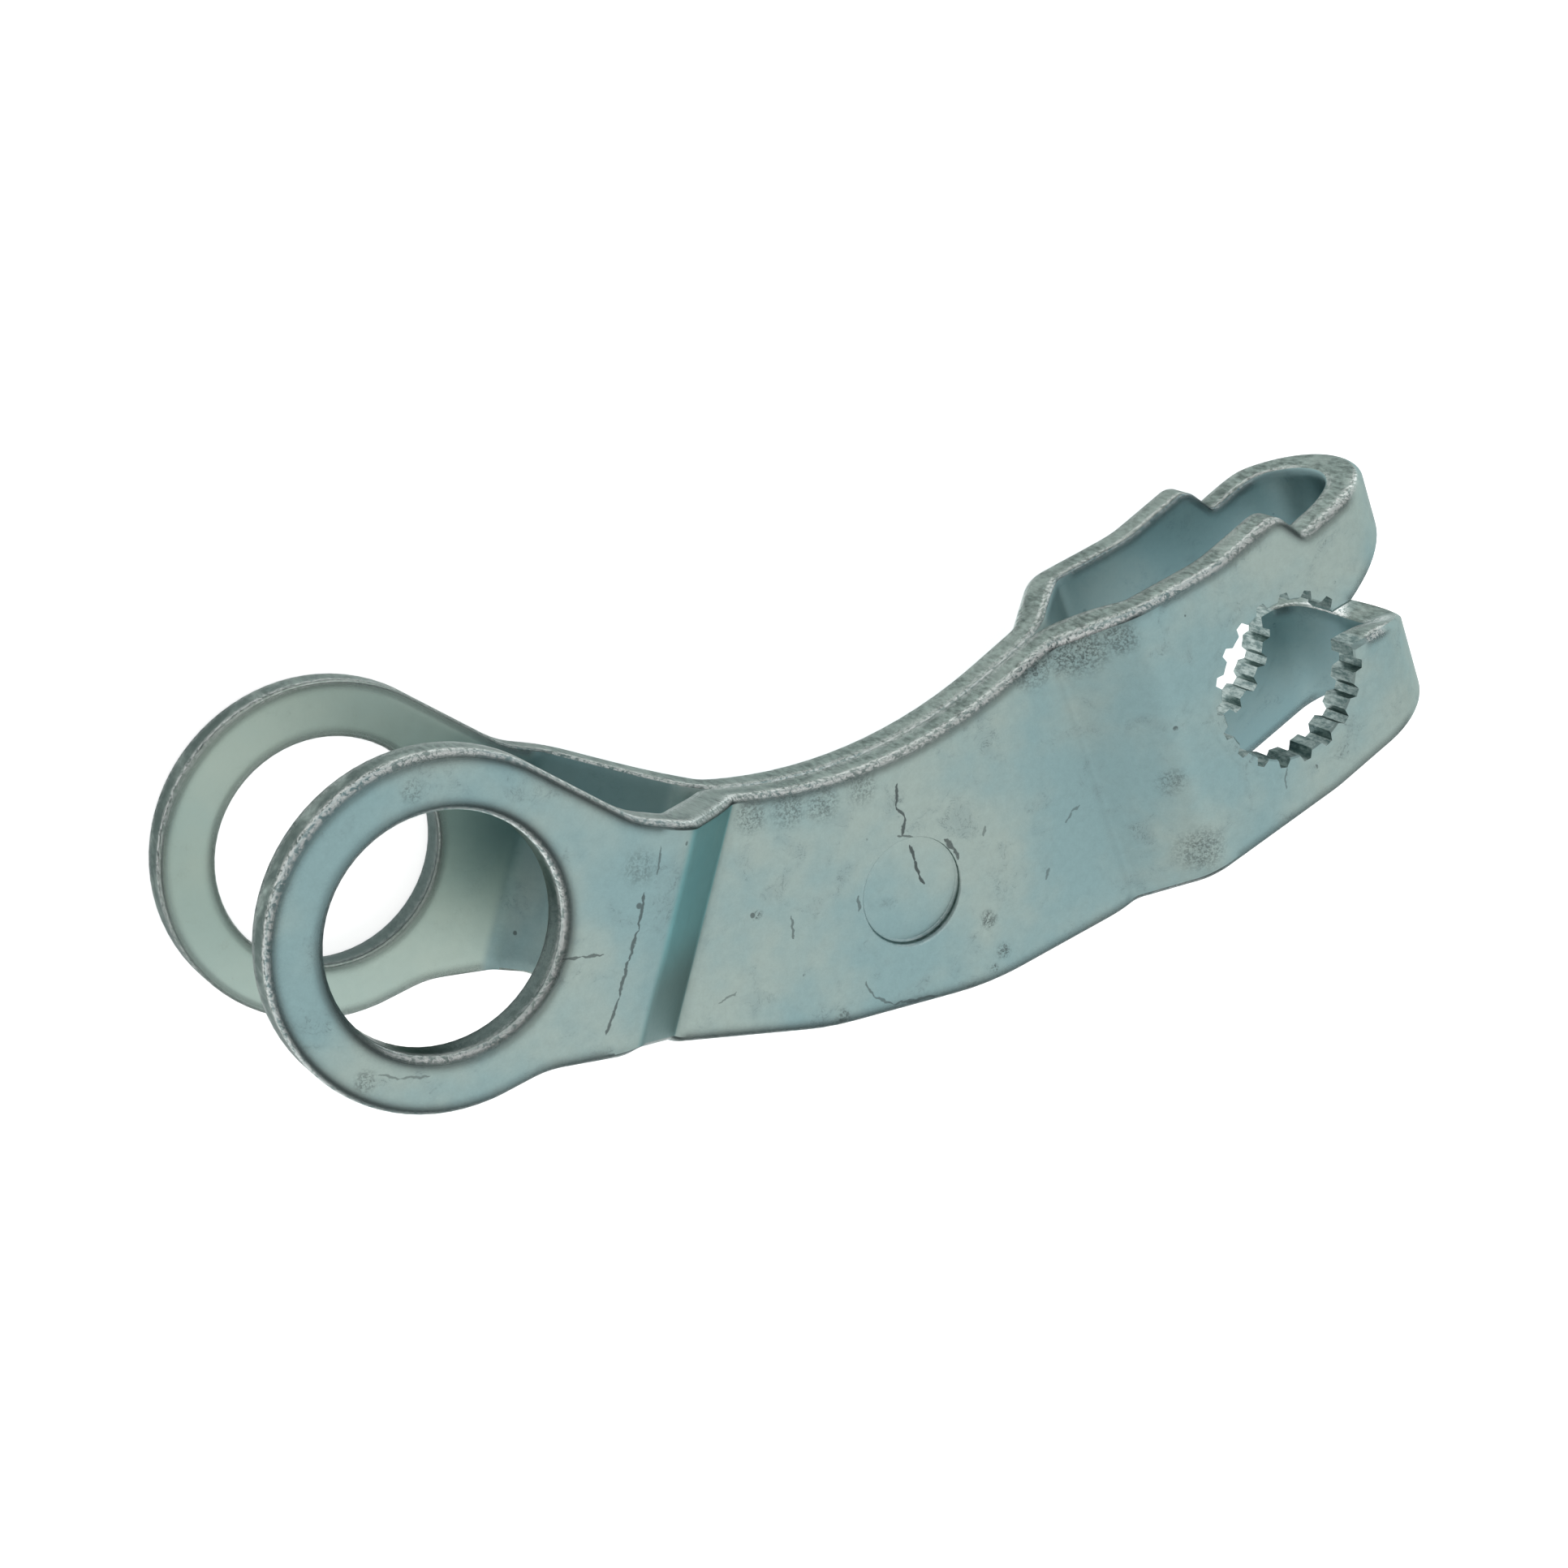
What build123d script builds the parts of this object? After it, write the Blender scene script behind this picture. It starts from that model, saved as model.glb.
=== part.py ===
from build123d import *
import math
import os

# Brake cam lever: one steel blank folded in half, with a rod fork at one end and a
# splined camshaft clamp at the other. Millimetres, degrees.
# The origin is the centre of the camshaft hole, halfway between the two plates.
# +X runs from the rod eyes towards the camshaft hole, and +Z along the camshaft.

# Sheet
sheet = 2.5
seam_gap = 0.1  # air between the two plates where they lie together
bend_inside = 1.0  # inside radius of the four joggle bends
edge_bevel = 0.35  # bevel along the outer rims, where the die rolled the sheet over

# Rod fork
lever_length = 64.2  # pin hole to camshaft hole
pin_hole = 15.0
pin_hole_bevel = 0.45
eye_width = 22.25
fork_gap = 16.6  # room between the two ears
fork_angle = -22.3  # direction in which the fork narrows, from +X
ear_reach = 14.3  # pin hole to the bend of the ear
ear_slope = 49.0  # how steeply the plates come together

# Camshaft clamp
clamp_angle = 16.0  # direction from the camshaft hole to the fold, from +X
bolt_channel = 7.9  # room between the plates for the pinch bolt
channel_end = 10.4  # camshaft hole to the inside of the fold
joggle_reach = 9.9  # camshaft hole to the bend where the plates part
joggle_slope = 42.0
spline_teeth = 19
spline_minor = 11.1
spline_major = 12.3
tooth_share = 0.42  # width of a tooth's crest, as a share of the pitch
groove_share = 0.28  # width of a groove's floor, as a share of the pitch
first_groove = -2.0  # direction of one groove, from +X
tooth_overlap = 0.3  # how far a groove's cutter runs into the hole
mouth_bevel = 0.12  # at the camshaft hole
slit_bevel = 0.3
slit_width = 3.0
slit_middle = 1.1  # how far the slit lies above the line to the fold
flare_up = 3.0  # how far the slit opens upwards round the fold
flare_down = 2.05
bolt_seat = 9.6  # height of the pinch bolt's seat above that line
seat_dip = 8.85  # height of the seat where it starts
seat_start = 4.4
seat_level = 8.3  # where the seat becomes level

# Side outline, as heights over the line between the two holes. A minus is below it.
neck_top = 37.0  # slope at which the upper edge leaves the eye
neck_low = 14.0  # slope at which the lower edge leaves it
neck_end = 12.9
neck_height = 4.0
valley_height = -2.6
valley_bend = 35.0
waist_height = -10.25
ear_corner = -10.9
belly_start = -14.75
belly_front = -17.0
belly_back = -17.35
belly_bend = 22.0
tight_bend = 1.5
small_bend = 6.0
long_bend = 10.0

# The same along the clamp, as heights over the line to the fold, and places along it.
jaw_top = 10.5
jaw_top_start = -10.3
jaw_rise = 10.25
jaw_rise_start = -2.8
peak_height = 11.25
peak_place = 2.75
peak_bend = 1.4
jaw_belly = -11.1
jaw_belly_end = -15.5
jaw_middle = -10.3
jaw_middle_end = -9.3
jaw_low = -9.6
jaw_low_end = 1.5
jaw_end = -7.3

# Locking mark that presses the two plates together
mark_width = 7.4
mark_depth = 0.32  # at the mark's middle
mark_tilt = 3.5  # the punch bit deeper towards the lower edge
mark_place = (-28.4, -8.8)

half_seam = seam_gap / 2
half_fork = fork_gap / 2 + sheet
half_channel = bolt_channel / 2
half_clamp = half_channel + sheet
fold_centre = channel_end - half_channel
eye_centre = (-lever_length, 0)
plate_overlap = lever_length * 0.45  # how far each end's section runs on into the other's
beyond = 60.0  # longer than anything that is cut or met by a helper solid


def rounded_outline(corners):
    """Closed face through (x, y, radius) corners."""
    points = [(x, y) for x, y, radius in corners]
    face = make_face(Polyline(*points, close=True))
    for x, y, radius in corners:
        vertex = face.vertices().sort_by_distance((x, y, 0))[0]
        if radius > 0:
            face = fillet(vertex, radius)
    return face


def arm(share, height, radius):
    """Corner at a share of the way from the pin hole to the camshaft hole."""
    return ((share - 1) * lever_length, height, radius)


def clamp(along, across, radius):
    """Corner along and across the line from the camshaft hole to the fold."""
    turn = math.radians(clamp_angle)
    x = along * math.cos(turn) - across * math.sin(turn)
    y = along * math.sin(turn) + across * math.cos(turn)
    return (x, y, radius)


def eye(angle, distance=eye_width / 2):
    """Point round the pin hole, in the direction of an angle from +X."""
    turn = math.radians(angle)
    return (distance * math.cos(turn) - lever_length, distance * math.sin(turn), 0)


def side_outline():
    """The lever seen along the camshaft."""
    past_fold = channel_end + 2 * sheet
    corners = [
        eye(0, 0),
        eye(90 - neck_top),
        (neck_end - lever_length, neck_height, small_bend),
        arm(0.505, valley_height, min(valley_bend, lever_length / 2)),
        clamp(jaw_top_start, jaw_top, long_bend),
        clamp(jaw_rise_start, jaw_rise, long_bend),
        clamp(peak_place, peak_height, peak_bend),
        clamp(seat_start, seat_dip, peak_bend / 2),
        clamp(seat_level, bolt_seat, small_bend),
        clamp(past_fold, bolt_seat, 0),
        clamp(past_fold, jaw_end, 0),
        clamp(jaw_low_end, jaw_low, long_bend),
        clamp(jaw_middle_end, jaw_middle, small_bend),
        clamp(jaw_belly_end, jaw_belly, long_bend),
        arm(0.645, belly_back, belly_bend),
        arm(0.45, belly_front, belly_bend),
        arm(0.274, belly_start, tight_bend),
        arm(0.18, ear_corner, tight_bend),
        arm(0.081, waist_height, small_bend),
        eye(neck_low - 90),
    ]
    return rounded_outline(corners) + Pos(*eye_centre) * Circle(eye_width / 2)


def fork_section(inner):
    """The two plates at the fork, seen along their bends, from the pin hole."""
    drop = half_fork - sheet - half_seam
    run = drop / math.tan(math.radians(ear_slope))
    shift = sheet * math.tan(math.radians(ear_slope / 2)) if inner else 0
    depth = sheet if inner else 0
    start = ear_reach - shift
    ear = half_fork - depth
    middle = half_seam + sheet - depth
    convex = bend_inside if inner else bend_inside + sheet
    concave = bend_inside + sheet if inner else bend_inside
    reach = start + run + plate_overlap
    upper = FilletPolyline(
        (-eye_width, ear), (start, ear), (start + run, middle), (reach, middle), radius=[convex, concave]
    )
    lower = mirror(upper, Plane.XZ)
    ends = Line(upper @ 0, lower @ 0) + Line(upper @ 1, lower @ 1)
    return make_face(upper + lower + ends)


def clamp_section(inner):
    """The two plates and the fold at the clamp, seen along their bends, from the cam."""
    rise = half_channel - half_seam
    run = rise / math.tan(math.radians(joggle_slope))
    shift = sheet * math.tan(math.radians(joggle_slope / 2)) if inner else 0
    depth = sheet if inner else 0
    end = -joggle_reach + shift
    middle = half_seam + sheet - depth
    wide = half_clamp - depth
    concave = bend_inside + sheet if inner else bend_inside
    convex = bend_inside if inner else bend_inside + sheet
    upper = FilletPolyline(
        (end - run - plate_overlap, middle), (end - run, middle), (end, wide), (fold_centre, wide),
        radius=[concave, convex],
    )
    lower = mirror(upper, Plane.XZ)
    fold = ThreePointArc(upper @ 1, (fold_centre + wide, 0), lower @ 1)
    start = Line(upper @ 0, lower @ 0)
    return make_face(upper + lower + fold + start)


def along_bends(section, place, angle):
    """Extrude a section along bends that lie across the given direction."""
    turn = math.radians(angle)
    forward = (math.cos(turn), math.sin(turn), 0)
    bend = (math.sin(turn), -math.cos(turn), 0)
    frame = Plane(origin=(place[0], place[1], 0), x_dir=forward, z_dir=bend)
    return extrude(frame * section, beyond / 2, both=True)


def spline_hole():
    """Camshaft hole with its teeth, as a cutter through both plates."""
    pitch = 2 * math.pi / spline_teeth
    tip = spline_minor / 2
    root = spline_major / 2
    mouth_half = tip * math.sin(pitch * (1 - tooth_share) / 2)
    floor_half = root * math.sin(pitch * groove_share / 2)
    inside = tip - tooth_overlap
    inside_half = mouth_half + (mouth_half - floor_half) * (tip - inside) / (root - tip)
    groove = Polygon(
        (inside, -inside_half), (root, -floor_half), (root, floor_half), (inside, inside_half), align=None
    )
    outline = Circle(tip)
    for tooth in range(spline_teeth):
        outline += Rot(0, 0, first_groove + 360 * tooth / spline_teeth) * groove
    return extrude(outline, half_clamp + 1, both=True)


def hole_mouths(radius, height, bevel):
    """Bevels for a round hole where it opens on the two outer faces."""
    mouth = Cone(radius, radius + 2 * bevel, 2 * bevel)
    return Pos(0, 0, height) * mouth + Pos(0, 0, -height) * mirror(mouth, Plane.XY)


def slit_cutter():
    """The slit from the camshaft hole, which flares as it goes round the fold."""
    low = slit_middle - slit_width / 2
    high = slit_middle + slit_width / 2
    slot = Pos(fold_centre / 2, slit_middle) * Rectangle(fold_centre, slit_width)
    straight = extrude(slot, half_clamp + 1, both=True)
    sections = []
    for angle in range(0, 181, 30):
        round_fold = math.sin(math.radians(angle))
        outward = (round_fold, 0, math.cos(math.radians(angle)))
        normal = (-math.cos(math.radians(angle)), 0, round_fold)
        plane = Plane(origin=(fold_centre, 0, 0), x_dir=outward, z_dir=normal)
        bottom = low - flare_down * round_fold**2
        top = high + flare_up * round_fold
        near = half_channel / 2
        far = half_clamp + 2
        sections.append(plane * Polygon((near, bottom), (far, bottom), (far, top), (near, top), align=None))
    flare = loft(sections)
    return Rot(0, 0, clamp_angle) * (straight + flare)


def rims(solid):
    """Edges where the outline, which stands along the camshaft, meets an outer face."""
    samples = [(across, along) for across in (0.1, 0.5, 0.9) for along in (0.1, 0.5, 0.9)]
    walls = [face for face in solid.faces() if all(abs(face.normal_at(*at).Z) < 1e-6 for at in samples)]
    edges = [edge for wall in walls for edge in wall.edges()]
    return [edge for edge in edges if edges.count(edge) == 1]


def outer_form():
    """The folded blank as if it were solid, with its outer rims bevelled."""
    form = along_bends(fork_section(False), eye_centre, fork_angle)
    form += along_bends(clamp_section(False), (0, 0), clamp_angle)
    form &= extrude(side_outline(), half_fork + 1, both=True)
    form = chamfer(rims(form), edge_bevel)
    slit = slit_cutter()
    split = form - slit
    return chamfer(new_edges(form, slit, combined=split), slit_bevel)


def inner_space():
    """Everything between the two plates, from the ears to the fold."""
    space = along_bends(fork_section(True), eye_centre, fork_angle)
    return space + along_bends(clamp_section(True), (0, 0), clamp_angle)


def locking_mark(lever):
    """Round mark pressed into the upper plate, which stands out of the lower one."""
    outside = half_seam + sheet
    tilted = Pos(*mark_place) * Rot(mark_tilt, 0, 0)
    dent = Cylinder(mark_width / 2, sheet / 2, align=(Align.CENTER, Align.CENTER, Align.MIN))
    boss = Cylinder(mark_width / 2, mark_depth + sheet / 2, align=(Align.CENTER, Align.CENTER, Align.MIN))
    lever -= tilted * Pos(0, 0, outside - mark_depth) * dent
    return lever + tilted * Pos(0, 0, -outside - mark_depth) * boss


def cam_lever():
    lever = outer_form() - inner_space()
    lever -= Pos(*eye_centre) * Cylinder(pin_hole / 2, 2 * half_fork + 2)
    lever -= Pos(*eye_centre) * hole_mouths(pin_hole / 2, half_fork, pin_hole_bevel)
    lever -= spline_hole()
    lever -= hole_mouths(spline_minor / 2, half_clamp, mouth_bevel)
    return locking_mark(lever)


os.makedirs("parts", exist_ok=True)
export_step(cam_lever(), "parts/cam_lever.step")
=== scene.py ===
import math

import bmesh
import bpy
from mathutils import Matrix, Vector
from mathutils.bvhtree import BVHTree
from mathutils.geometry import barycentric_transform


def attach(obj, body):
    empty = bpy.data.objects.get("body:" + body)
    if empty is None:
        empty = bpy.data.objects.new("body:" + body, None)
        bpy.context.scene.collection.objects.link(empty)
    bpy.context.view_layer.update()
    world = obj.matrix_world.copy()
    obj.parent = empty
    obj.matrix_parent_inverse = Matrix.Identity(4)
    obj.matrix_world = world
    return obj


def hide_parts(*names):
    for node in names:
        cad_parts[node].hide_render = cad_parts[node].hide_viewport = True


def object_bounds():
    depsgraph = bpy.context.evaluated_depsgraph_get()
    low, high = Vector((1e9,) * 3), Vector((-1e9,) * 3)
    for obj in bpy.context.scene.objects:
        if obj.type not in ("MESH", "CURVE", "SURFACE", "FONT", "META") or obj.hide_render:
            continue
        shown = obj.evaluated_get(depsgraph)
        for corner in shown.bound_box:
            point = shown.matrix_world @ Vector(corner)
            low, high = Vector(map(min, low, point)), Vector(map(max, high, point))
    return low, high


# Brake cam lever in zinc-plated pressed steel, as one piece on the body "root".
# The scene is in the lever's own frame: origin in the camshaft hole, +Z along the camshaft.
# It is in metres, and so are the values for the lamp, the floor and the camera. All other
# lengths below are in mm, and mm is the factor to metres.

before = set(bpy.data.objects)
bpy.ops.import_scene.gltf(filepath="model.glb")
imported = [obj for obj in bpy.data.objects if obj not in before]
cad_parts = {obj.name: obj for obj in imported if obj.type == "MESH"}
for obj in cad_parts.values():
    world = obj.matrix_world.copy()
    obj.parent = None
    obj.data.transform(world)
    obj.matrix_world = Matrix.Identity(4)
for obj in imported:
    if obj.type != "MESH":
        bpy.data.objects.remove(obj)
cad_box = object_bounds()
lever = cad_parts["cam_lever"]
lever_middle = (cad_box[0] + cad_box[1]) / 2
mm = 0.001
camshaft = (0, 0, 1)  # direction of its axis
flatten = (1, 1, 0)  # factors that bring a place into the side view

# Light tent: its brightness all round and on its dim side, where that side lies, and the
# cosines of the angle from its middle at which it starts and is fully dim
sky_light = 1.0
sky_shade = 0.45
dim_side = Vector((-0.5, 0.66, 0.56))
dim_ramp = (0.3, 0.7)

# Lamp overhead: azimuth and elevation in degrees, distance, side and brightness
lamp_turn, lamp_height = -60, 60
lamp_distance = 0.6
lamp_side = 0.3
lamp_brightness = 0.25

# Floor: half its side, its drop below the lever, its grey and its own glow
floor_half = 1.5
floor_drop = 0.00002
floor_grey = 0.8
floor_glow = 0.75

# The photograph's camera, worked out from the two pin eyes and the camshaft hole
camera_place = Vector((-0.12407, 0.06507, 0.17281))
camera_turn = (0.95163894, -0.17443632, -0.23556354, -0.09200606)  # quaternion w, x, y, z
focal_length, sensor_width = 72.34, 36.0  # mm
picture_rise = 0.1211  # how far the lens axis passes below the picture's middle, in widths
nearest_seen = 0.01

# The lever's side view, as in the solid model: its axes in degrees from +X, and places
fork_angle = -22.3
clamp_angle = 16.0
lever_length = 64.2  # pin hole to camshaft hole
mark_place = (-28.4, -8.8)  # middle of the round locking mark

# Rounding of the rims
rim_width = 0.2  # how far the rounding reaches on each side of an edge
rim_segments = 3
rim_room_needed = 0.44  # faces narrower than this get a smaller rounding
rim_share = 0.42  # of the narrower face, where that is too narrow
sharp_edge = math.radians(24)
same_plane = math.radians(0.6)
merge_distance = 0.012
sliver_width = 0.01
needle_width = 0.004
loose_faces = 10  # islands with fewer faces are loose needles

# Where edges lie too close together to be rounded
teeth_zone = 7.5  # from the camshaft hole's axis
slit_zone, slit_sides = 6.0, (-4.0, 6.8)  # from there on along the clamp's axis, and across
ear_corner_ends, ear_corner_top = (-56.0, -50.5), -9.0  # between in x, and below in y
ear_inside = 7.5  # from the middle plane

# Joining of the skin's normals to the solid model's
normal_reach = 0.03
smallest_facet = 1e-5  # square mm
least_agreement = 0.9  # cosine between a face's normal and the facet's

# Ramps of the masks: 0 at the first value and 1 at the second.
# Along the clamp's axis, from the camshaft hole:
fold_start = (6.0, 7.0)
joggle_start, joggle_end = (-15.0, -14.2), (-7.4, -8.2)
channel_start = (-14.5, -12.0)
fork_side = (-20.0, -30.0)
# Along the fork's axis, from the pin hole:
slope_start, slope_end = (12.0, 12.8), (22.5, 21.7)
neck_start = (5.0, 12.0)
tip_start = (-2.0, -8.0)
# Across the fork's axis, from the camshaft hole:
slope_foot = (-22.0, -27.0)
neck_top = (-28.0, -21.0)
# From the axis of a hole or the middle of the mark:
teeth_reach = (7.1, 6.4)
bore_reach = (8.4, 8.0)
mark_reach = (5.4, 4.6)
# Height above the middle plane:
upper_plate = (0.5, 1.0)
# That height times the normal's part along the camshaft, so below 0 on inner faces:
facing_in = (-0.4, -1.2)
facing_out = (1.2, 2.0)
# The normal's part along the camshaft, which is 1 on a flat face and 0 on a cut one:
steep_cut = (0.42, 0.12)
steep_slope = (0.9, 0.75)
roll_start, roll_end = (0.48, 0.64), (0.998, 0.96)
lip_start, lip_end = (0.2, 0.3), (0.58, 0.46)
# The normal's part along or across an axis in the side view:
fold_turn = (0.25, 0.5)
fold_inside = (-0.2, -0.5)
fold_beside = (0.2, 0.05)
bend_beside = (0.3, 0.15)

# The rim's shaded roundness, which is wider than the rounding in the mesh
roll_radius = 1.15
roll_samples = 4

# Noise in the plating: scale per mm, detail, roughness and distortion
cloud_noise = (0.09, 4.0, 0.55)
patch_noise = (0.35, 4.0, 0.6, 0.5)
mottle_noise = (1.6, 5.0, 0.6, 0.4)
grain_noise = (8.0, 3.0, 0.7)
shear_noise = (3.2, 5.0, 0.7)
shear_stretch = (1.0, 1.0, 0.35)  # shear lines run along the camshaft
glint_noise = (3.2, 4.0, 0.8)

# Ramps of the noise
cloud_ramp = (0.35, 0.65)
dull_ramp = (0.5, 0.75)
shear_ramp = (0.3, 0.7)
plain_ramp = (0.45, 0.6)
tooth_ramp = (0.35, 0.65)
tip_ramp = (0.75, 0.45)
glint_ramp = (0.42, 0.52)

# Veins: their noise, their width in it, and where and how strongly they show
vein_noise, vein_width = (0.9, 6.0, 0.62, 1.2), (0.012, 0.002)
vein_places, vein_strength = (0.52, 0.66), 0.5

# Specks: how densely they lie, the noise that sizes them, their largest size and soft rim
speck_scale, speck_noise, speck_growth = 0.55, (0.5, 2.0), (0.5, 0.7)
speck_size, speck_rim = 0.13, (0.02, -0.02)
speck_places, speck_strength = (0.4, 0.55), 0.7

# Scuffs: the noise that bends them, where a stroke starts and is full (1 is its half width),
# the part of a patch's radius that is full, and the noise of its grit
warp_noise, warp_reach = (1.8, 3.0), 0.5
stroke_soft, stroke_full = 2.0, 0.4
patch_core = 0.3
grit_noise, grit_ramp = (4.5, 5.0, 0.75, 0.6), (0.41, 0.60)

# Colours of the plating, and the share and colour of each zone's painted light and shade
plate_blue, plate_green = (0.26, 0.39, 0.40, 1), (0.355, 0.44, 0.41, 1)
plate_dull, dull_share = (0.21, 0.29, 0.30, 1), 0.35
mark_dark = (0.06, 0.075, 0.075, 1)
painted_light_and_shade = {
    # painted shade on the channel's inner faces between the plates
    "channel": (0.5, (0.20, 0.35, 0.385, 1)),
    # painted light on the ears' inner faces
    "ear": (0.6, (0.52, 0.62, 0.54, 1)),
    # painted shade on the inner faces at the fork's neck
    "neck": (0.75, (0.09, 0.18, 0.19, 1)),
    # painted reflection on the outer face of the fork's bent band
    "slope": (0.75, (0.18, 0.42, 0.435, 1)),
    # painted shade on the lower side of that band
    "foot": (0.7, (0.12, 0.15, 0.14, 1)),
}
edge_dark, edge_light = (0.09, 0.115, 0.105, 1), (0.29, 0.36, 0.33, 1)
edge_plain, plain_share = (0.33, 0.39, 0.36, 1), 0.45
tooth_dark, tooth_light = (0.16, 0.23, 0.225, 1), (0.5, 0.58, 0.56, 1)
# Painted shade on the walls of the pin hole
bore_painted_shade, bore_share = (0.075, 0.10, 0.097, 1), 0.8
# Painted shade on the cut edges at the ears' outer ends
tip_painted_shade, tip_share = (0.075, 0.10, 0.092, 1), 0.85
# Painted dark reflection in the roll beside each rim
roll_painted_reflection, roll_share = (0.03, 0.038, 0.038, 1), 0.93
# Painted highlight on the rims' lips
painted_glint = (0.95, 0.98, 0.96, 1)
bore_loss = 0.7  # share of the glint that the bore loses
glancing_tint = (0.55, 0.6, 0.6, 1)

# Tone, roughness and relief: the plain part, and the parts that the noise and the masks add
plain_tone, mottle_tone, grain_tone = 0.74, 0.34, 0.18
plain_rough, mottle_rough, polish, cut_polish = 0.36, 0.16, 0.2, 0.4
mottle_relief, grain_relief, shear_relief = 0.5, 0.35, 1.4
relief_strength, relief_depth = 0.4, 0.035

# Strokes in the plating: half width and strength, then points in the side view
strokes = [
    (0.10, 0.75, [(-51.4, -0.6), (-52.1, -2.8), (-53.0, -4.7), (-53.9, -6.8), (-55.1, -8.9)]),
    (0.08, 0.7, [(-57.3, -3.4), (-56.1, -3.5), (-54.5, -3.8)]),
    (0.08, 0.6, [(-50.0, 1.9), (-50.5, 0.2)]),
    (0.08, 0.5, [(-69.7, -7.2), (-68.4, -7.9), (-66.5, -8.2)]),
    (0.12, 0.85, [(-28.9, -1.3), (-29.1, -2.8), (-28.5, -3.7), (-28.8, -5.0)]),
    (0.09, 0.7, [(-29.2, -4.9), (-28.8, -5.0), (-28.0, -5.2)]),
    (0.12, 0.9, [(-28.2, -5.8), (-28.0, -7.0), (-27.6, -8.1), (-27.3, -8.9)]),
    (0.13, 0.8, [(-25.7, -6.0), (-25.0, -6.9), (-24.7, -7.7)]),
    (0.10, 0.6, [(-32.5, -8.2), (-32.5, -9.3)]),
    (0.08, 0.6, [(-37.5, -8.3), (-37.5, -9.9)]),
    (0.08, 0.5, [(-14.9, -6.3), (-15.6, -6.6), (-16.1, -7.2)]),
    (0.09, 0.5, [(-17.7, -10.1), (-18.0, -10.9)]),
    (0.08, 0.5, [(-22.5, -5.9), (-22.7, -6.6)]),
    (0.09, 0.6, [(-32.6, -14.3), (-31.9, -15.6), (-30.6, -16.5), (-27.1, -16.8)]),
    (0.08, 0.5, [(-43.4, -12.8), (-42.0, -12.4)]),
    (0.07, 0.5, [(-0.5, -6.2), (-0.7, -7.7)]),
]

# Gritty patches: middle, radius, strength. The first three darken the bend of the clamp's
# joggle.
patches = [
    (-18.0, 4.4, 2.4, 0.75), (-15.2, 4.9, 2.6, 0.8), (-13.0, 5.6, 1.6, 0.7),
    (-39.7, -0.9, 1.6, 0.6), (-37.0, -1.1, 1.8, 0.6), (-34.5, -1.3, 1.7, 0.6),
    (-31.5, -1.0, 1.5, 0.5), (-22.7, -12.5, 0.9, 0.8), (-21.7, -15.1, 0.8, 0.8),
    (-22.6, -16.1, 0.5, 0.8), (-34.4, -16.3, 0.8, 0.7), (-40.0, -7.6, 0.5, 0.8),
    (-7.5, -10.4, 2.2, 0.6), (-9.5, -5.1, 1.3, 0.5), (-65.1, 9.2, 1.0, 0.5),
    (-70.5, -7.4, 1.0, 0.6), (-51.5, 1.0, 1.6, 0.4),
]


class Shader:
    """Short names for making and joining the nodes of one material."""

    def __init__(self, name):
        self.material = bpy.data.materials.new(name)
        self.material.use_nodes = True
        self.tree = self.material.node_tree
        self.tree.nodes.clear()

    def feed(self, socket, value):
        if isinstance(value, bpy.types.NodeSocket):
            self.tree.links.new(value, socket)
        else:
            socket.default_value = value

    def node(self, kind, **inputs):
        """New node. Each name is one of its inputs, or else one of its settings."""
        made = self.tree.nodes.new(kind)
        for key, value in inputs.items():
            if key in made.inputs:
                self.feed(made.inputs[key], value)
            else:
                setattr(made, key, value)
        return made

    def math(self, operation, *values, clamp=False):
        made = self.node("ShaderNodeMath", operation=operation, use_clamp=clamp)
        for socket, value in zip(made.inputs, values):
            self.feed(socket, value)
        return made.outputs[0]

    def plus(self, first, *others):
        for other in others:
            first = self.math("ADD", first, other)
        return first

    def product(self, first, *others):
        for other in others:
            first = self.math("MULTIPLY", first, other)
        return first

    def greatest(self, first, *others):
        for other in others:
            first = self.math("MAXIMUM", first, other)
        return first

    def less(self, value):
        """1 minus the value."""
        return self.math("SUBTRACT", 1.0, value)

    def size(self, value):
        """The value without its sign."""
        return self.math("ABSOLUTE", value)

    def step(self, value, low, high):
        """0 below low, 1 above high, and smooth between. The two may be swapped."""
        made = self.node("ShaderNodeMapRange", interpolation_type="SMOOTHSTEP", Value=value)
        ends = (low, high, 0.0, 1.0) if low < high else (high, low, 1.0, 0.0)
        for key, end in zip(("From Min", "From Max", "To Min", "To Max"), ends):
            made.inputs[key].default_value = end
        return made.outputs["Result"]

    def mix(self, factor, first, second, blend="MIX"):
        made = self.node("ShaderNodeMix", data_type="RGBA", blend_type=blend)
        for key, value in zip(("Factor", "A", "B"), (factor, first, second)):
            self.feed(made.inputs[key], value)
        return made.outputs["Result"]

    def noise(self, place, scale, detail=3.0, rough=0.5, distort=0.0, output="Fac"):
        made = self.node("ShaderNodeTexNoise", Vector=place, Scale=scale, Detail=detail,
                         Roughness=rough, Distortion=distort)
        return made.outputs[output]

    def vector(self, operation, *values, **named):
        """Vector Math node. Its length, distance and dot product come out as a value."""
        made = self.node("ShaderNodeVectorMath", operation=operation, **named)
        for socket, value in zip(made.inputs, values):
            self.feed(socket, value)
        scalar = operation in ("LENGTH", "DISTANCE", "DOT_PRODUCT")
        return made.outputs["Value" if scalar else "Vector"]

    def dot(self, vector, direction):
        return self.vector("DOT_PRODUCT", vector, direction)

    def far(self, flat, x, y):
        """Distance in the side view."""
        return self.vector("DISTANCE", flat, (x, y, 0))

    def grey(self, value):
        return self.node("ShaderNodeCombineColor", Red=value, Green=value, Blue=value).outputs[0]

    def finish(self, shader):
        self.node("ShaderNodeOutputMaterial", Surface=shader)
        return self.material


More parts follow.
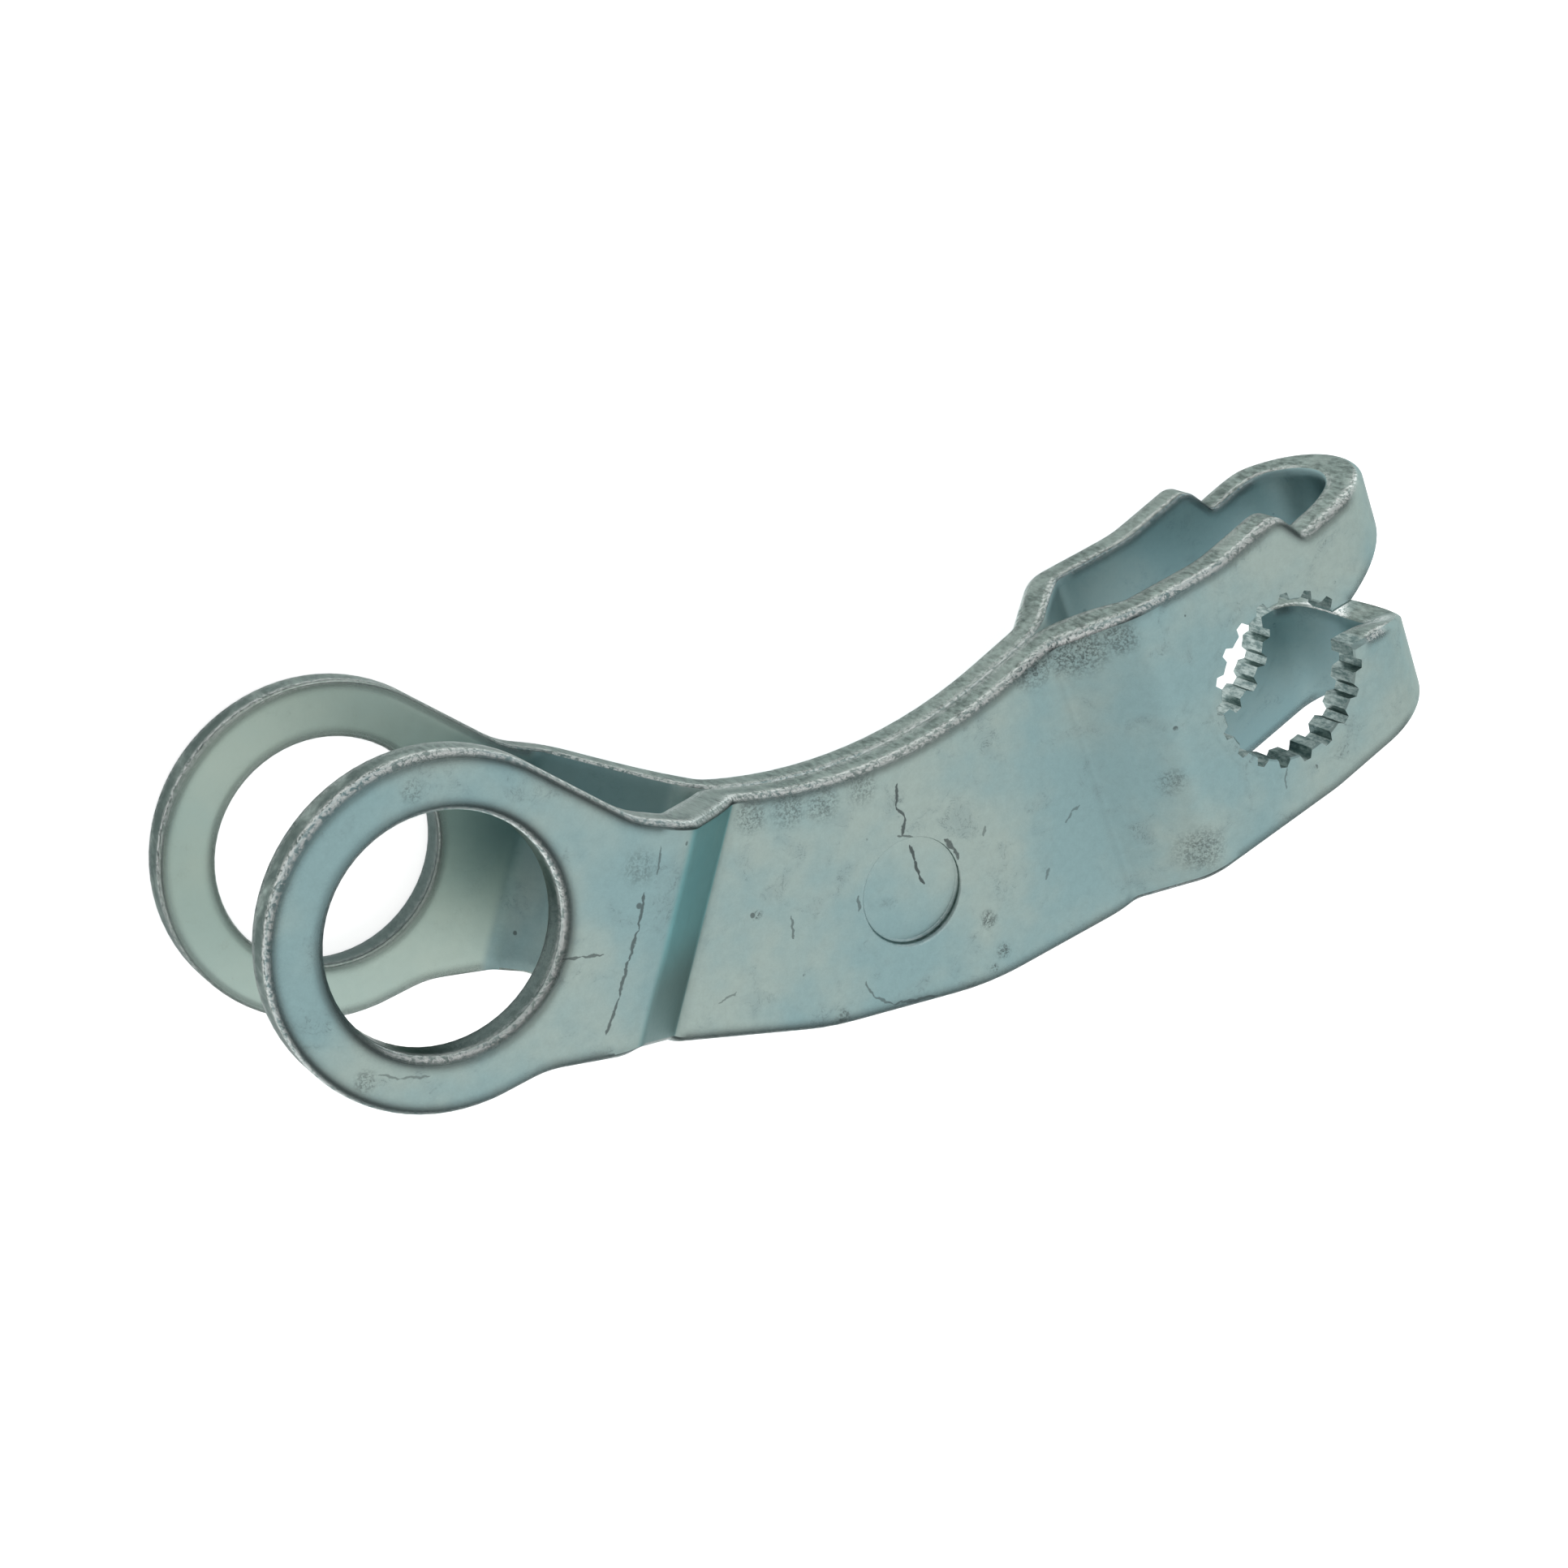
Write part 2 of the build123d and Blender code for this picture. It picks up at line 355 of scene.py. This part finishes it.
def in_side_view(angle, quarter=0):
    """Unit direction in the side view. A quarter of 1 gives the one across it."""
    turn = math.radians(angle + 90 * quarter)
    return (math.cos(turn), math.sin(turn), 0.0)


def rim_room(edge):
    """Width in mm of the narrower face beside an edge."""
    start = edge.verts[0].co
    run = (edge.verts[1].co - start).normalized()
    widths = []
    for face in edge.link_faces:
        away = [vertex.co - start for vertex in face.verts]
        widths.append(max((step - step.dot(run) * run).length for step in away))
    return min(widths) / mm


def cad_normals():
    """Search tree of the solid model's facets, with each one's corners, normals and area."""
    mesh = lever.data
    mesh.calc_loop_triangles()
    facets = mesh.loop_triangles
    corners = [tuple(facet.vertices) for facet in facets]
    normals = [[mesh.loops[loop].normal.copy() for loop in facet.loops] for facet in facets]
    areas = [facet.area for facet in facets]
    places = [vertex.co.copy() for vertex in mesh.vertices]
    return BVHTree.FromPolygons(places, corners), corners, normals, places, areas


def smooth_as_cad(mesh, tree, corners, normals, places, areas):
    """Give flat and bent faces the solid model's normals, and let the rounded rims join them."""
    rim_faces = [face for face in mesh.polygons if face.material_index == 1]
    found = [Vector((0, 0, 0)) for loop in mesh.loops]
    around = {}
    for face in mesh.polygons:
        if face.material_index == 1:
            continue
        for loop in face.loop_indices:
            vertex = mesh.loops[loop].vertex_index
            place = mesh.vertices[vertex].co
            near = tree.find_nearest_range(place, normal_reach * mm)
            near = [hit for hit in near if areas[hit[2]] > smallest_facet * mm * mm]
            if near:
                index = max(near, key=lambda hit: hit[1].dot(face.normal))[2]
                facet = [places[corner] for corner in corners[index]]
                normal = barycentric_transform(place, *facet, *normals[index]).normalized()
            if not near or normal.dot(face.normal) < least_agreement:
                normal = face.normal.copy()
            found[loop] = normal
            around.setdefault(vertex, []).append(normal)
    blended = {}
    for face in rim_faces:
        for vertex in face.vertices:
            sofar = blended.get(vertex, Vector((0, 0, 0)))
            blended[vertex] = sofar + face.normal * face.area
    for face in rim_faces:
        for loop in face.loop_indices:
            vertex = mesh.loops[loop].vertex_index
            normal = blended[vertex].normalized()
            if vertex in around:
                normal = max(around[vertex], key=lambda other: other.dot(face.normal))
            found[loop] = normal
    mesh.shade_smooth()
    mesh.normals_split_custom_set(found)


def crowded(place):
    """Whether edges lie too close to be rounded: at the teeth, the slit and an ear's corner."""
    along = place.dot(Vector(in_side_view(clamp_angle)))
    across = place.dot(Vector(in_side_view(clamp_angle, 1)))
    at_slit = along > slit_zone and slit_sides[0] < across < slit_sides[1]
    at_ear = ear_corner_ends[0] < place.x < ear_corner_ends[1] and abs(place.z) > ear_inside
    at_corner = at_ear and place.y < ear_corner_top
    return place.xy.length < teeth_zone or at_slit or at_corner


def merged_solid():
    """The solid model's mesh with its flat faces whole, and a share of rounding on each edge."""
    mesh = lever.data.copy()
    mesh.name = "lever_skin"
    if "custom_normal" in mesh.attributes:
        mesh.attributes.remove(mesh.attributes["custom_normal"])
    mesh.materials.append(mesh.materials[0])
    work = bmesh.new()
    work.from_mesh(mesh)
    bmesh.ops.remove_doubles(work, verts=work.verts, dist=merge_distance * mm)
    bmesh.ops.dissolve_degenerate(work, dist=sliver_width * mm, edges=work.edges)
    bmesh.ops.dissolve_limit(work, angle_limit=same_plane, verts=work.verts, edges=work.edges)
    share = work.edges.layers.float.new("bevel_weight_edge")
    for edge in work.edges:
        if len(edge.link_faces) != 2 or edge.calc_face_angle() < sharp_edge:
            continue
        if not crowded((edge.verts[0].co + edge.verts[1].co) / 2 / mm):
            room = rim_room(edge)
            edge[share] = 1 if room > rim_room_needed else rim_share * room / rim_width
    work.to_mesh(mesh)
    work.free()
    return mesh


def drop_needles(mesh):
    """Take out the loose needles that the rounding leaves where it stops."""
    work = bmesh.new()
    work.from_mesh(mesh)
    bmesh.ops.dissolve_degenerate(work, dist=needle_width * mm, edges=work.edges)
    seen = set()
    loose = []
    for first in work.faces:
        if first in seen:
            continue
        seen.add(first)
        island = [first]
        for face in island:
            for edge in face.edges:
                joined = [other for other in edge.link_faces if other not in seen]
                seen.update(joined)
                island.extend(joined)
        if len(island) < loose_faces:
            loose.extend(island)
    bmesh.ops.delete(work, geom=loose, context="FACES")
    work.to_mesh(mesh)
    work.free()


def rounded_skin():
    """The lever's own surface with its rims rounded, as the die and the plating leave them."""
    surface = cad_normals()
    piece = bpy.data.objects.new("lever_skin", merged_solid())
    bpy.context.scene.collection.objects.link(piece)
    rims = piece.modifiers.new("rims", "BEVEL")
    rims.limit_method = "WEIGHT"
    rims.width = rim_width * mm
    rims.segments = rim_segments
    rims.use_clamp_overlap = False
    rims.loop_slide = False
    rims.material = 1  # marks the rims for smooth_as_cad
    rounded = piece.evaluated_get(bpy.context.evaluated_depsgraph_get())
    mesh = bpy.data.meshes.new_from_object(rounded)
    piece.modifiers.clear()
    piece.data = mesh
    drop_needles(mesh)
    smooth_as_cad(mesh, *surface)
    mesh.materials.clear()
    mesh.materials.append(zinc_plate())
    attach(piece, "root")
    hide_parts("cam_lever")


def lever_masks(s, place, flat, normal):
    """Where the surface is cut, rolled over at a rim, bent, toothed or facing inwards."""
    upright = s.size(s.dot(normal, camshaft))
    outward = s.math("MULTIPLY", s.dot(place, camshaft), s.dot(normal, camshaft))
    along = s.dot(place, in_side_view(clamp_angle))
    along_normal = s.dot(normal, in_side_view(clamp_angle))
    across_normal = s.size(s.dot(normal, in_side_view(clamp_angle, 1)))
    eye_offset = lever_length * math.cos(math.radians(fork_angle))
    from_eye = s.plus(s.dot(place, in_side_view(fork_angle)), eye_offset)
    fork_height = s.dot(place, in_side_view(fork_angle, 1))
    fork_normal = s.size(s.dot(normal, in_side_view(fork_angle, 1)))

    past_clamp = s.step(along, *fold_start)
    on_fold = s.product(past_clamp, s.step(s.size(along_normal), *fold_turn))
    on_joggle = s.product(s.step(along, *joggle_start), s.step(along, *joggle_end),
                          s.step(across_normal, *bend_beside))
    on_slope = s.product(s.step(from_eye, *slope_start), s.step(from_eye, *slope_end),
                         s.step(fork_normal, *bend_beside))
    bent = s.greatest(on_joggle, on_slope, on_fold)
    toothed = s.step(s.far(flat, 0, 0), *teeth_reach)
    on_mark = s.step(s.far(flat, *mark_place), *mark_reach)
    cut = s.product(s.step(upright, *steep_cut), s.less(on_fold))
    bore = s.product(s.step(s.far(flat, -lever_length, 0), *bore_reach), cut)
    tip = s.product(s.step(from_eye, *tip_start), cut, s.less(bore))

    # Dark roll and bright lip beside and on each rim, where the colour paints a dark reflection
    # and a highlight
    tilt = s.node("ShaderNodeBevel", samples=roll_samples, Radius=roll_radius * mm).outputs[0]
    soft = s.size(s.dot(tilt, camshaft))
    across_tilt = s.size(s.dot(tilt, in_side_view(clamp_angle, 1)))
    into_fold = s.product(past_clamp, s.step(across_tilt, *fold_beside))
    plain = s.product(s.less(bent), s.less(toothed))
    rolled = s.product(s.step(soft, *roll_start), s.step(soft, *roll_end), plain,
                       s.less(into_fold), s.less(on_mark))
    lip = s.product(s.step(soft, *lip_start), s.step(soft, *lip_end), plain)
    tilt = s.mix(s.greatest(toothed, on_mark), tilt, normal)

    inside_fold = s.product(s.step(along_normal, *fold_inside), on_fold)
    inward = s.greatest(s.step(outward, *facing_in), inside_fold)
    channel = s.product(inward, s.step(along, *channel_start))
    ear = s.product(inward, s.less(s.greatest(channel, bent)))
    neck = s.product(inward, s.step(from_eye, *neck_start), s.step(fork_height, *neck_top),
                     s.step(along, *fork_side))
    slope = s.product(on_slope, s.step(outward, *facing_out), s.step(upright, *steep_slope))
    foot = s.product(slope, s.step(fork_height, *slope_foot))
    return {"cut": cut, "rolled": rolled, "lip": lip, "toothed": toothed, "inward": inward,
            "slope": slope, "tilt": tilt, "bore": bore, "channel": channel, "foot": foot,
            "tip": tip, "neck": neck, "ear": ear}


def marks(s, place, gate):
    """Strokes and gritty patches on the upper side's outer faces, from 0 to 1."""
    moved = s.noise(place, *warp_noise, output="Color")
    moved = s.vector("SCALE", s.vector("SUBTRACT", moved, (0.5, 0.5, 0.5)), Scale=warp_reach)
    flat = s.vector("MULTIPLY", s.vector("ADD", place, moved), flatten)
    scuffs = 0.0
    for width, strength, points in strokes:
        for start, end in zip(points, points[1:]):
            # A slim ellipse with the stretch's ends as its foci
            run = math.dist(start, end)
            thick = 2 * width**2 / run
            ends = (run + stroke_soft * thick, run + stroke_full * thick)
            reach = s.plus(s.far(flat, *start), s.far(flat, *end))
            line = s.product(s.step(reach, *ends), strength)
            scuffs = s.greatest(scuffs, line)
    grit = 0.0
    for x, y, radius, strength in patches:
        spot = s.step(s.far(flat, x, y), radius, radius * patch_core)
        grit = s.greatest(grit, s.product(spot, strength))
    grit = s.product(grit, s.step(s.noise(place, *grit_noise), *grit_ramp))
    return s.product(s.greatest(scuffs, grit), gate)


def veins_and_specks(s, place, patch, mottle):
    """Fine dark veins and round specks in the plating, from 0 to 1."""
    ripple = s.noise(place, *vein_noise)
    vein = s.step(s.size(s.math("SUBTRACT", ripple, 0.5)), *vein_width)
    vein = s.product(vein, s.step(patch, *vein_places), vein_strength)
    dots = s.node("ShaderNodeTexVoronoi", Vector=place, Scale=speck_scale).outputs["Distance"]
    dot_size = s.product(s.step(s.noise(place, *speck_noise), *speck_growth), speck_size)
    speck = s.step(s.math("SUBTRACT", dots, dot_size), *speck_rim)
    return s.greatest(vein, s.product(speck, s.step(mottle, *speck_places), speck_strength))


def zinc_plate():
    """Clear-passivated zinc over pressed steel, which differs on faces, bends and cut edges.
    Painted light, shade, reflection and highlights are in its colour too.
    """
    s = Shader("zinc_plated_steel")
    object_place = s.node("ShaderNodeTexCoord").outputs["Object"]
    place = s.vector("SCALE", object_place, Scale=1 / mm)
    flat = s.vector("MULTIPLY", place, flatten)
    normal = s.node("ShaderNodeNewGeometry").outputs["Normal"]
    on = lever_masks(s, place, flat, normal)

    cloud = s.noise(place, *cloud_noise)
    patch = s.noise(place, *patch_noise)
    mottle = s.noise(place, *mottle_noise)
    grain = s.noise(place, *grain_noise)
    shear = s.noise(s.vector("MULTIPLY", place, shear_stretch), *shear_noise)

    # Faces and bends
    plate = s.mix(s.step(cloud, *cloud_ramp), plate_blue, plate_green)
    plate = s.mix(s.product(s.step(patch, *dull_ramp), dull_share), plate, plate_dull)
    tone = s.plus(s.product(mottle, mottle_tone), s.product(grain, grain_tone), plain_tone)
    plate = s.mix(1.0, plate, s.grey(tone), "MULTIPLY")
    upper = s.product(s.step(s.dot(place, camshaft), *upper_plate), s.less(on["inward"]))
    dark = s.greatest(veins_and_specks(s, place, patch, mottle), marks(s, place, upper))
    plate = s.mix(dark, plate, mark_dark)
    # Painted shade, painted light and painted reflection of the zones
    for zone, (share, tint) in painted_light_and_shade.items():
        plate = s.mix(s.product(on[zone], share), plate, tint)

    # Cut edges and holes, with painted shade in the pin hole and at the ears' outer ends
    edge = s.mix(s.step(shear, *shear_ramp), edge_dark, edge_light)
    edge = s.mix(s.product(s.step(patch, *plain_ramp), plain_share), edge, edge_plain)
    tooth = s.mix(s.step(shear, *tooth_ramp), tooth_dark, tooth_light)
    edge = s.mix(on["toothed"], edge, tooth)
    edge = s.mix(s.product(on["bore"], bore_share), edge, bore_painted_shade)
    edge = s.mix(s.product(on["tip"], s.step(patch, *tip_ramp), tip_share), edge, tip_painted_shade)

    # The rims' dark roll, a painted dark reflection, and the broken painted highlight on their
    # lips
    colour = s.mix(on["cut"], plate, edge)
    colour = s.mix(s.product(on["rolled"], roll_share), colour, roll_painted_reflection)
    sparkle = s.product(on["lip"], s.step(s.noise(place, *glint_noise), *glint_ramp),
                        s.less(s.product(on["bore"], bore_loss)))
    colour = s.mix(sparkle, colour, painted_glint)

    smooth = s.plus(s.greatest(on["rolled"], on["bore"]),
                    s.greatest(sparkle, s.product(on["cut"], cut_polish)))
    rough = s.plus(s.product(mottle, mottle_rough), plain_rough)
    rough = s.math("SUBTRACT", rough, s.product(smooth, polish))
    height = s.plus(s.product(mottle, mottle_relief), s.product(grain, grain_relief),
                    s.product(shear, on["cut"], shear_relief))
    relief = s.node("ShaderNodeBump", Strength=relief_strength, Distance=relief_depth * mm,
                    Height=height, Normal=on["tilt"]).outputs[0]
    metal = s.node("ShaderNodeBsdfPrincipled", Metallic=1.0, Roughness=rough, Normal=relief)
    s.feed(metal.inputs["Base Color"], colour)
    s.feed(metal.inputs["Specular Tint"], glancing_tint)
    return s.finish(metal.outputs[0])


def floor_material():
    """Pale matt floor. It shows white where nothing shades it."""
    s = Shader("studio_floor")
    rays = s.node("ShaderNodeLightPath").outputs
    seen = s.math("ADD", rays["Is Camera Ray"], rays["Is Glossy Ray"])
    seen = s.math("ADD", seen, rays["Is Transmission Ray"], clamp=True)
    matt = s.node("ShaderNodeBsdfDiffuse", Color=(floor_grey, floor_grey, floor_grey, 1))
    strength = s.product(seen, floor_glow)
    glow = s.node("ShaderNodeEmission", Color=(1, 1, 1, 1), Strength=strength)
    both = s.node("ShaderNodeAddShader")
    s.feed(both.inputs[0], matt.outputs[0])
    s.feed(both.inputs[1], glow.outputs[0])
    return s.finish(both.outputs[0])


def floor():
    """Level floor under the ear that the lever lies on."""
    height = cad_box[0].z - floor_drop
    signs = ((-1, -1), (1, -1), (1, 1), (-1, 1))
    corners = [(floor_half * x, floor_half * y, height) for x, y in signs]
    mesh = bpy.data.meshes.new("floor")
    mesh.from_pydata(corners, [], [(0, 1, 2, 3)])
    mesh.materials.append(floor_material())
    piece = bpy.data.objects.new("floor", mesh)
    bpy.context.scene.collection.objects.link(piece)


def sky():
    """Light tent: pale all round, and dimmer behind the camera, above it and to its left."""
    world = bpy.data.worlds.new("studio")
    bpy.context.scene.world = world
    world.use_nodes = True
    tree = world.node_tree
    place = tree.nodes.new("ShaderNodeTexCoord")
    towards = tree.nodes.new("ShaderNodeVectorMath")
    towards.operation = "DOT_PRODUCT"
    towards.inputs[1].default_value = dim_side.normalized()
    tree.links.new(place.outputs["Generated"], towards.inputs[0])
    dimmed = tree.nodes.new("ShaderNodeMapRange")
    dimmed.interpolation_type = "SMOOTHSTEP"
    ends = (*dim_ramp, sky_light, sky_shade)
    for key, end in zip(("From Min", "From Max", "To Min", "To Max"), ends):
        dimmed.inputs[key].default_value = end
    tree.links.new(towards.outputs["Value"], dimmed.inputs["Value"])
    glow = tree.nodes["Background"]
    glow.inputs["Color"].default_value = (1, 1, 1, 1)
    tree.links.new(dimmed.outputs["Result"], glow.inputs["Strength"])


def softbox():
    """Square area lamp above the lever, facing it."""
    turn, height = math.radians(lamp_turn), math.radians(lamp_height)
    level = math.cos(height)
    towards = Vector((math.cos(turn) * level, math.sin(turn) * level, math.sin(height)))
    lamp = bpy.data.lights.new("overhead", "AREA")
    lamp.shape = "SQUARE"
    lamp.size = lamp_side
    lamp.energy = lamp_brightness * math.pi * lamp_side**2
    holder = bpy.data.objects.new("overhead", lamp)
    holder.location = lever_middle + lamp_distance * towards
    holder.rotation_euler = towards.to_track_quat("Z", "Y").to_euler()
    bpy.context.scene.collection.objects.link(holder)


def camera():
    """The photograph's camera."""
    data = bpy.data.cameras.new("photograph")
    data.lens = focal_length
    data.sensor_width = sensor_width
    data.shift_y = picture_rise
    data.clip_start = nearest_seen
    holder = bpy.data.objects.new("photograph", data)
    holder.rotation_mode = "QUATERNION"
    holder.rotation_quaternion = camera_turn
    holder.location = camera_place
    bpy.context.scene.collection.objects.link(holder)
    bpy.context.scene.camera = holder


rounded_skin()
floor()
sky()
softbox()
camera()
bpy.context.scene.view_settings.view_transform = "Standard"
